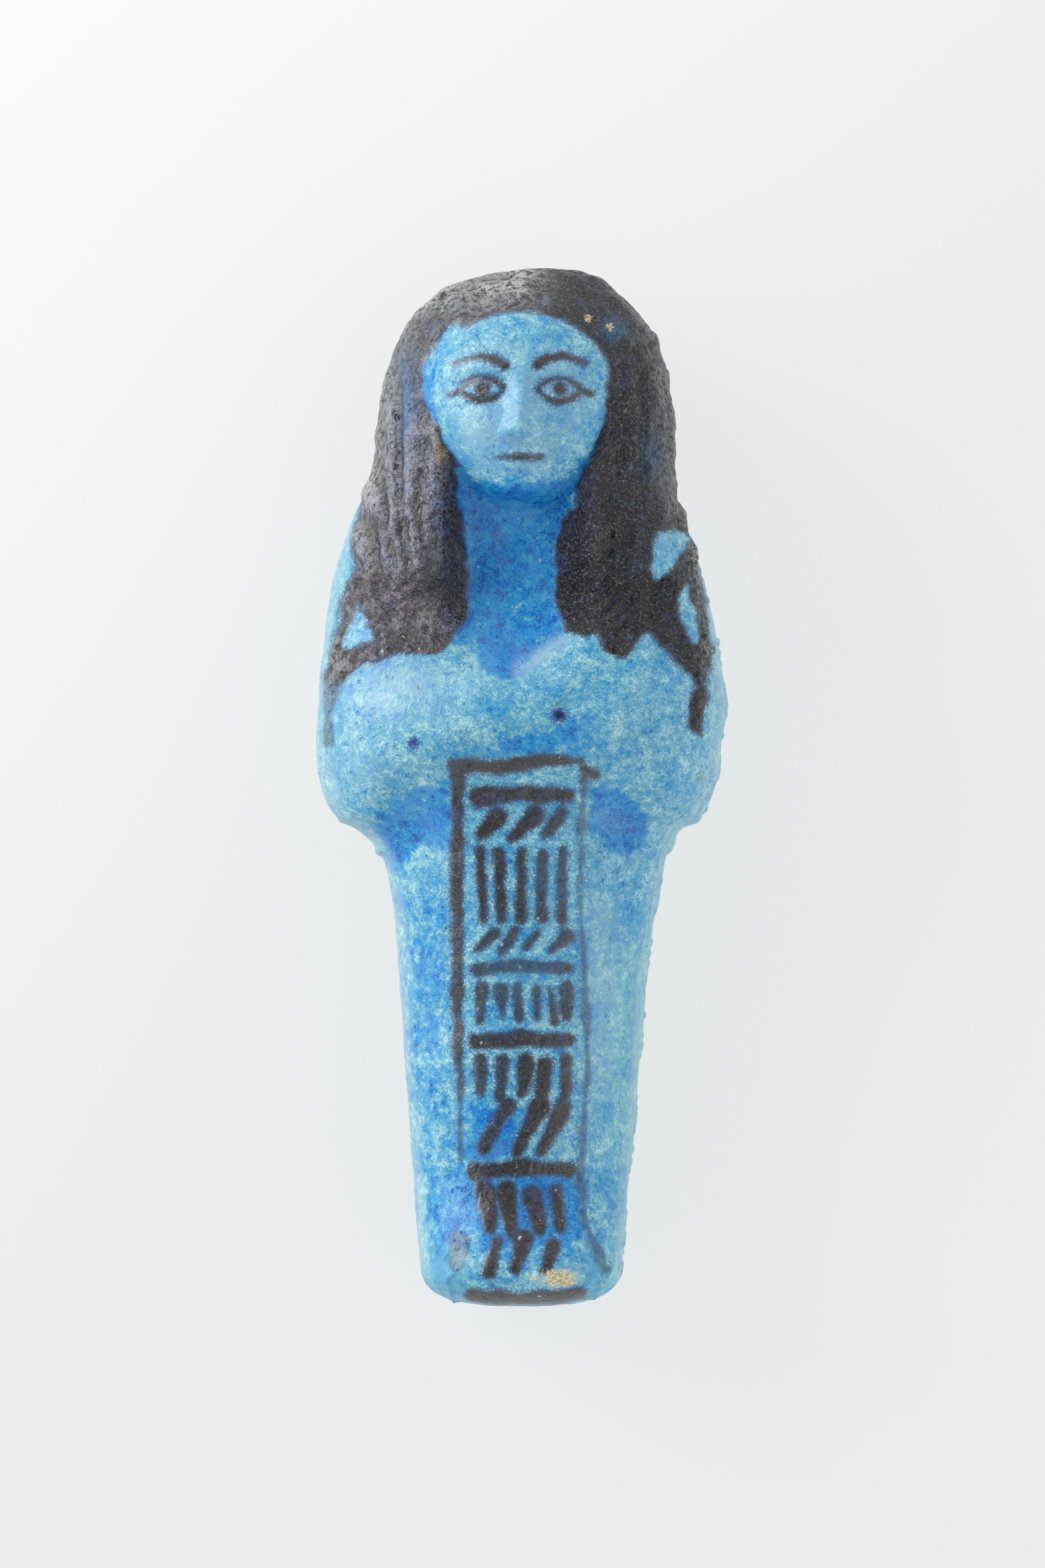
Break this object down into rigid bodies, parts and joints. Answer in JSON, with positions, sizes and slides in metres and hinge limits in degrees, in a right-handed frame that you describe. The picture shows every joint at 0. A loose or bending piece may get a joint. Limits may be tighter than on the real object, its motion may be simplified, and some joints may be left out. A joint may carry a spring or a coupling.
{
  "type": "ushabti figurine",
  "caption": "Small mummy-shaped funerary figurine of blue glazed faience, with a black painted wig, crossed arms and a framed panel of painted strokes, lying on its flat back.",
  "frame": {"origin": "on the flat back, under the middle of the figure's length and width", "axes": "+X to the figure's left side, +Y from the feet to the crown of the head, +Z out of the chest"},
  "size_m": [0.0354, 0.09, 0.0221],
  "materials": {
    "faience": "turquoise-blue alkaline glaze with black painted wig and details, glossy and slightly pitted"
  },
  "bodies": {
    "root": {"ushabti_figure": "faience"}
  },
  "joints": []
}
